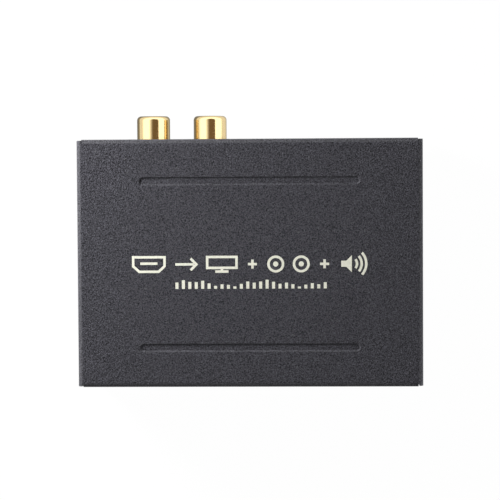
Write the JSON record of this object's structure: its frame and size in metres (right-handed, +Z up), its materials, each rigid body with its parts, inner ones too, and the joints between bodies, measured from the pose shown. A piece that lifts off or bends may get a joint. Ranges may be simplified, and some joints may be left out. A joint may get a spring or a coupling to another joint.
{
  "type": "video link audio splitter box",
  "caption": "Small black steel box that takes a digital video link in, passes it on, and gives its sound out on phono jacks and a shuttered optical socket.",
  "frame": {"origin": "centre of the whole object's box in plan, at the undersides of the feet", "axes": "+X to the right with the phono jacks at the rear left, +Y to the rear, +Z up"},
  "size_m": [0.086, 0.0686, 0.026],
  "materials": {
    "textured_coat": "fine sandy textured black powder coat",
    "plated_steel": "bright zinc or tin plate",
    "black_screw": "black oxide",
    "foot_rubber": "matte black rubber",
    "board_laminate": "green solder mask over glass laminate",
    "chip_resin": "moulded black resin",
    "tinned_metal": "tinned",
    "can_aluminium": "bright drawn aluminium",
    "tan_ceramic": "tan ceramic",
    "black_plastic": "moulded black plastic",
    "red_plastic": "glossy red plastic",
    "white_plastic": "glossy white plastic",
    "gold_plate": "polished gold plate",
    "emitter_resin": "tinted clear resin",
    "lamp_lens": "diffused red lens"
  },
  "bodies": {
    "case": {"top_cover": "textured_coat", "base_tray": "textured_coat", "board_standoffs": "plated_steel", "cover_screws": "black_screw", "board_screws": "plated_steel", "rubber_feet": "foot_rubber", "circuit_board": "board_laminate", "processor_chip": "chip_resin", "processor_leads": "tinned_metal", "audio_chips": "chip_resin", "audio_chip_leads": "tinned_metal", "voltage_regulators": "chip_resin", "regulator_tabs": "tinned_metal", "power_inductor": "chip_resin", "capacitor_cans": "can_aluminium", "capacitor_bases": "black_plastic", "crystal_can": "tinned_metal", "power_diode": "chip_resin", "protection_arrays": "chip_resin", "chip_capacitors": "tan_ceramic", "chip_resistors": "chip_resin", "chip_end_caps": "tinned_metal", "phono_housing": "black_plastic", "phono_barrel_left": "gold_plate", "phono_barrel_right": "gold_plate", "phono_insulator_left": "red_plastic", "phono_insulator_right": "white_plastic", "phono_centre_contacts": "gold_plate", "optical_housing": "black_plastic", "shutter_pin": "plated_steel", "shutter_spring": "plated_steel", "optical_emitter": "emitter_resin", "optical_leads": "tinned_metal", "video_out_shell": "plated_steel", "video_out_tongue": "black_plastic", "video_out_contacts": "gold_plate", "video_in_shell": "plated_steel", "video_in_tongue": "black_plastic", "video_in_contacts": "gold_plate", "power_jack_housing": "black_plastic", "power_jack_pin": "plated_steel", "power_jack_spring": "plated_steel", "status_lamp": "lamp_lens", "lamp_holder": "black_plastic", "lamp_leads": "tinned_metal", "switch_base": "black_plastic", "switch_frame": "plated_steel", "switch_terminals": "tinned_metal"},
    "shutter": {"optical_shutter": "black_plastic"},
    "slider": {"switch_knob": "black_plastic", "switch_wiper": "gold_plate"}
  },
  "joints": [
    {"name": "shutter_hinge", "type": "hinge", "parent": "case", "child": "shutter", "pos_m": [0.005, 0.02693, 0.01755], "axis": [-1, 0, 0], "range_deg": [0, 88], "stiffness_Nm_per_rad": 0.0002, "springref_deg": -28.65, "deforming": ["shutter_spring"]},
    {"name": "switch_slide", "type": "slide", "parent": "case", "child": "slider", "axis": [1, 0, 0], "range_m": [-0.002, 0.002]}
  ]
}
